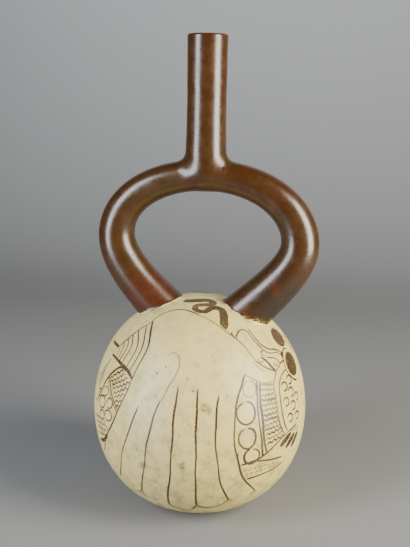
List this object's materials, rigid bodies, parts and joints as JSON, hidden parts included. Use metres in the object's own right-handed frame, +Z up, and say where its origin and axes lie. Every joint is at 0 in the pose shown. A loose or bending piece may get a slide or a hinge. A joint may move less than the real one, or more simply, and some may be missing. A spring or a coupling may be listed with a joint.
{
  "type": "stirrup spout vessel",
  "caption": "Round-bodied hollow ceramic bottle with a looped tubular handle that joins into one upright spout, painted with dark line figures on a pale ground",
  "frame": {"origin": "centre of the flattened base the vessel stands on", "axes": "+Z up the vessel through the body and the spout, +X along the plane of the looped handle towards its wider side, +Y across the handle towards the back"},
  "size_m": [0.1375, 0.132, 0.2839],
  "materials": {
    "painted_clay": "satin"
  },
  "bodies": {
    "root": {"vessel": "painted_clay"}
  },
  "joints": []
}
